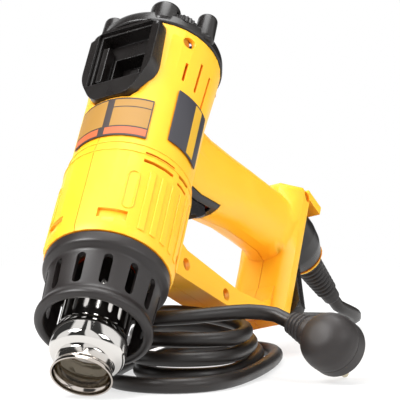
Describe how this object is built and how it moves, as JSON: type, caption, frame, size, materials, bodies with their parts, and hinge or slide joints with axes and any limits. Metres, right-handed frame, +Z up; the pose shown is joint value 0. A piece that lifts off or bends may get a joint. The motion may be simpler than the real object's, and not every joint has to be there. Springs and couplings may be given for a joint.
{
  "type": "hot air tool",
  "caption": "Corded hot air gun with a D handle, chrome nozzle in a slotted guard, heat dial, swing-out stand and a coiled lead with its plug.",
  "frame": {"origin": "centre of the tool's bounding box on the floor, without the free lead, its coil and its plug", "axes": "+X the way the nozzle points along the floor, +Y towards the handle's side, +Z up. The tool leans nose down on its nozzle and on the coil, as in the picture"},
  "size_m": [0.4026, 0.176, 0.2151],
  "materials": {
    "yellow": "satin moulded",
    "black": "satin moulded",
    "rubber": "matt",
    "chrome": "polished",
    "steel": "plain",
    "brass": "plain",
    "ceramic": "fired ceramic",
    "element": "oxidised wire",
    "board": "circuit board",
    "label": "printed film"
  },
  "bodies": {
    "housing": {"control_board": "board", "cord_clamp": "black", "cord_coil": "rubber", "cord_lead": "rubber", "cord_tail": "rubber", "core_spider": "ceramic", "dial_sensor": "board", "front_guard": "black", "heater_core": "ceramic", "heater_seat": "ceramic", "heating_element": "element", "left_badge": "black", "left_shell": "yellow", "mica_sleeve": "label", "motor_body": "steel", "motor_bracket": "black", "motor_bush": "brass", "nozzle_tube": "chrome", "plug_body": "rubber", "plug_pin_a": "brass", "plug_pin_b": "brass", "rating_label": "label", "rear_cap": "black", "right_badge": "black", "right_shell": "yellow", "shell_screw_1": "steel", "shell_screw_2": "steel", "shell_screw_3": "steel", "shell_screw_4": "steel", "shell_screw_5": "steel", "stand_collar": "yellow", "strain_relief": "rubber", "switch_bezel": "black", "switch_body": "black", "top_frame": "black", "top_tray": "black", "tray_bar": "black", "tray_stud": "black", "trigger_pin": "steel"},
    "trigger": {"trigger": "black"},
    "fan": {"fan_impeller": "black", "motor_shaft": "steel"},
    "dial": {"heat_dial": "black"},
    "stand": {"stand": "black"}
  },
  "joints": [
    {"name": "trigger_press", "type": "hinge", "parent": "housing", "child": "trigger", "pos_m": [0.00546, -0.00609, 0.10483], "axis": [0.2342, 0.9441, 0.2321], "range_deg": [0, 12], "stiffness_Nm_per_rad": 0.3, "springref_deg": -8.59},
    {"name": "fan_spin", "type": "hinge", "parent": "housing", "child": "fan", "pos_m": [0.03598, -0.02109, 0.13507], "axis": [0.7039, 0, -0.7103], "continuous": true},
    {"name": "heat_dial_turn", "type": "hinge", "parent": "housing", "child": "dial", "pos_m": [0.00327, -0.00572, 0.19839], "axis": [0.7039, 0, -0.7103], "range_deg": [0, 270]},
    {"name": "stand_swing", "type": "hinge", "parent": "housing", "child": "stand", "pos_m": [-0.12643, 0.03661, 0.06423], "axis": [0.6706, -0.3297, 0.6645], "range_deg": [-45, 90]}
  ]
}
